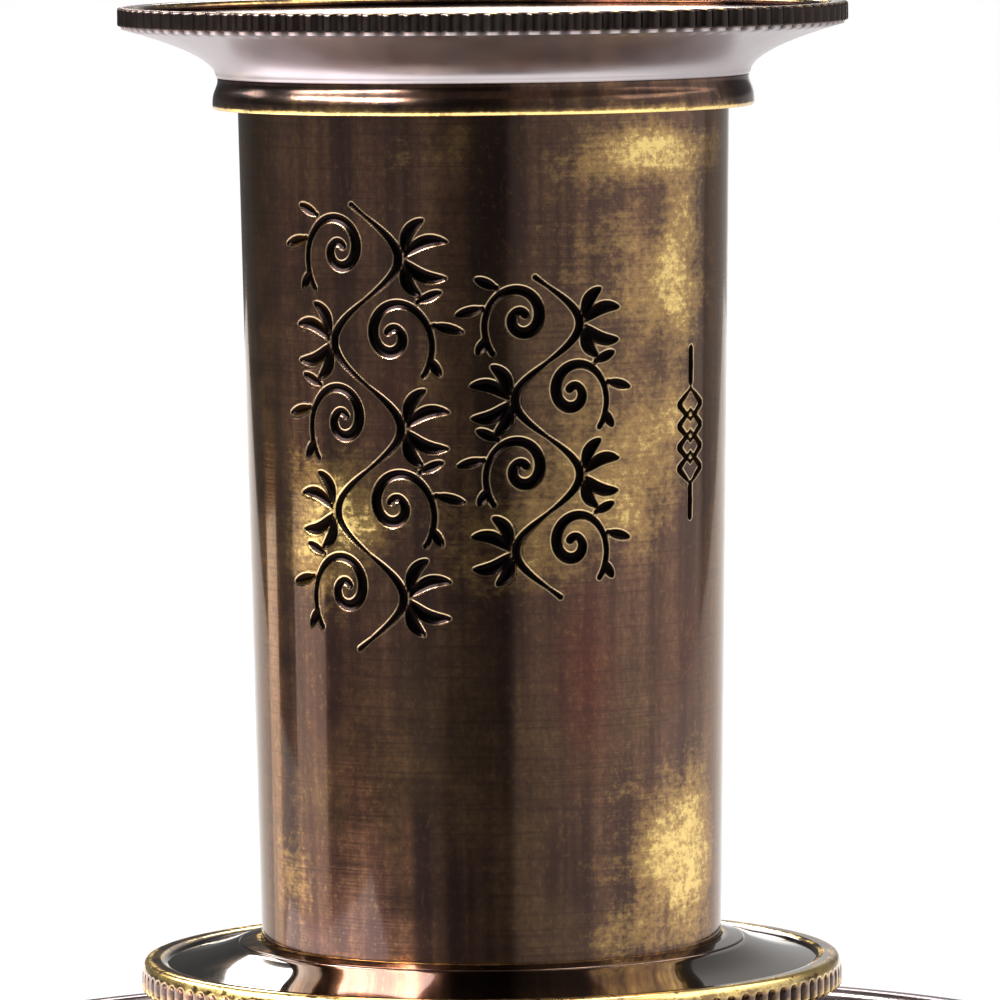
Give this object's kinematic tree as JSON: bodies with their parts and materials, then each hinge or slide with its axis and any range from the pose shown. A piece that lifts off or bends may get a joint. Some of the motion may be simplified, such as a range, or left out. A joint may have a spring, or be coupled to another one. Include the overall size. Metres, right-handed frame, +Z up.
{
  "type": "kaleidoscope",
  "caption": "Brass kaleidoscope standing on its wide object case, with a flared milled eyepiece, a tapered tube, a milled collar and a mirror tunnel over a cell of glass chips.",
  "frame": {"origin": "centre of the object case's foot, on the surface that the object stands on", "axes": "+Z up along the tube, towards the eyepiece; +X to the right and +Y away in the front view"},
  "size_m": [0.1084, 0.1084, 0.104],
  "materials": {
    "aged_brass": "antique patina, worn",
    "plain_brass": "turned, lacquered",
    "black_brass": "chemically blackened",
    "steel": "satin",
    "fibre": "red fibre",
    "felt": "felt",
    "black_card": "black card",
    "silvered_glass": "front silvered",
    "clear_glass": "clear",
    "frosted_glass": "frosted",
    "glass_ruby": "coloured glass",
    "glass_amber": "coloured glass",
    "glass_green": "coloured glass",
    "glass_blue": "coloured glass",
    "glass_violet": "coloured glass",
    "glass_clear": "coloured glass"
  },
  "bodies": {
    "object_case": {"case_cover": "aged_brass", "case_band": "aged_brass", "inner_glass": "clear_glass", "cell_spacer": "plain_brass", "frosted_glass": "frosted_glass", "glass_retaining_ring": "plain_brass"},
    "tube": {"body_tube": "aged_brass", "mirror_one": "silvered_glass", "mirror_two": "silvered_glass", "mirror_three": "silvered_glass", "mirror_sleeve": "black_card", "upper_mirror_cradle": "plain_brass", "lower_mirror_cradle": "plain_brass", "mirror_cushions": "felt", "turning_hub": "plain_brass", "hub_screws": "steel", "thrust_washer": "fibre", "milled_collar": "aged_brass", "collar_felt_washer": "felt"},
    "eyepiece_lift": {"eyepiece_washer": "fibre"},
    "eyepiece": {"eyepiece_flange": "aged_brass", "eye_stop": "black_brass", "eye_glass": "clear_glass", "eye_glass_ring": "plain_brass"},
    "chip_bed": {"chips_ruby": "glass_ruby", "chips_amber": "glass_amber", "chips_green": "glass_green", "chips_blue": "glass_blue", "chips_violet": "glass_violet", "chips_clear": "glass_clear"}
  },
  "joints": [
    {"name": "tube_turn", "type": "hinge", "parent": "object_case", "child": "tube", "pos_m": [0, 0, 0.018], "axis": [0, 0, 1], "continuous": true},
    {"name": "chip_tumble", "type": "hinge", "parent": "object_case", "child": "chip_bed", "pos_m": [0, 0, 0.005], "axis": [0, 0, 1], "continuous": true},
    {"name": "eyepiece_rise", "type": "slide", "parent": "tube", "child": "eyepiece_lift", "axis": [0, 0, 1], "range_m": [0, 0.00301]},
    {"name": "eyepiece_unscrew", "type": "hinge", "parent": "eyepiece_lift", "child": "eyepiece", "pos_m": [0, 0, 0.098], "axis": [0, 0, 1], "range_deg": [0, 1440]}
  ],
  "couplings": [
    {"joint": "eyepiece_rise", "follows": "eyepiece_unscrew", "m_per_rad": 0.00011937}
  ]
}
